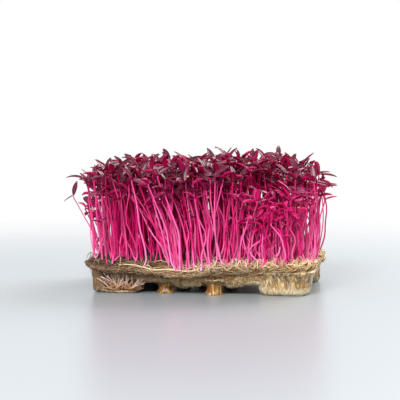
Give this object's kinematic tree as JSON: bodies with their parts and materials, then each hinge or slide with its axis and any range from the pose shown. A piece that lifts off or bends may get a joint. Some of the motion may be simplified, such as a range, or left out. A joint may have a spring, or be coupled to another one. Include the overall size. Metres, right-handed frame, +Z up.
{
  "type": "block of red amaranth microgreens",
  "caption": "Block of red amaranth microgreens on a fibre pad, standing on the feet and posts of its moulded root mat.",
  "frame": {"origin": "on the resting surface, in the middle of the round foot under the block's centre", "axes": "+X along the block's long side to the right, +Y to its back, +Z up"},
  "size_m": [0.1479, 0.0991, 0.0762],
  "materials": {
    "pad_fibre": "matt matted plant fibre with soil crumbs",
    "root_flesh": "moist translucent cream roots, satin",
    "stem_pink": "smooth hot pink stem skin, satin",
    "leaf_wine": "dark wine red leaf skin with a soft waxy sheen"
  },
  "bodies": {
    "root": {"growing_pad": "pad_fibre", "root_mat": "root_flesh", "root_tuft": "root_flesh", "edge_root": "root_flesh", "stems_01": "stem_pink", "leaves_01": "leaf_wine", "stems_02": "stem_pink", "leaves_02": "leaf_wine", "stems_03": "stem_pink", "leaves_03": "leaf_wine", "stems_04": "stem_pink", "leaves_04": "leaf_wine", "stems_05": "stem_pink", "leaves_05": "leaf_wine", "stems_06": "stem_pink", "leaves_06": "leaf_wine", "stems_07": "stem_pink", "leaves_07": "leaf_wine", "stems_08": "stem_pink", "leaves_08": "leaf_wine", "stems_09": "stem_pink", "leaves_09": "leaf_wine", "stems_10": "stem_pink", "leaves_10": "leaf_wine", "stems_11": "stem_pink", "leaves_11": "leaf_wine", "stems_12": "stem_pink", "leaves_12": "leaf_wine", "stems_13": "stem_pink", "leaves_13": "leaf_wine", "stems_14": "stem_pink", "leaves_14": "leaf_wine", "stems_15": "stem_pink", "leaves_15": "leaf_wine", "stems_16": "stem_pink", "leaves_16": "leaf_wine", "stems_17": "stem_pink", "leaves_17": "leaf_wine", "stems_18": "stem_pink", "leaves_18": "leaf_wine", "stems_19": "stem_pink", "leaves_19": "leaf_wine", "stems_20": "stem_pink", "leaves_20": "leaf_wine", "stems_21": "stem_pink", "leaves_21": "leaf_wine", "stems_22": "stem_pink", "leaves_22": "leaf_wine", "stems_23": "stem_pink", "leaves_23": "leaf_wine", "stems_24": "stem_pink", "leaves_24": "leaf_wine", "stems_25": "stem_pink", "leaves_25": "leaf_wine", "stems_26": "stem_pink", "leaves_26": "leaf_wine", "stems_27": "stem_pink", "leaves_27": "leaf_wine", "stems_28": "stem_pink", "leaves_28": "leaf_wine"}
  },
  "joints": []
}
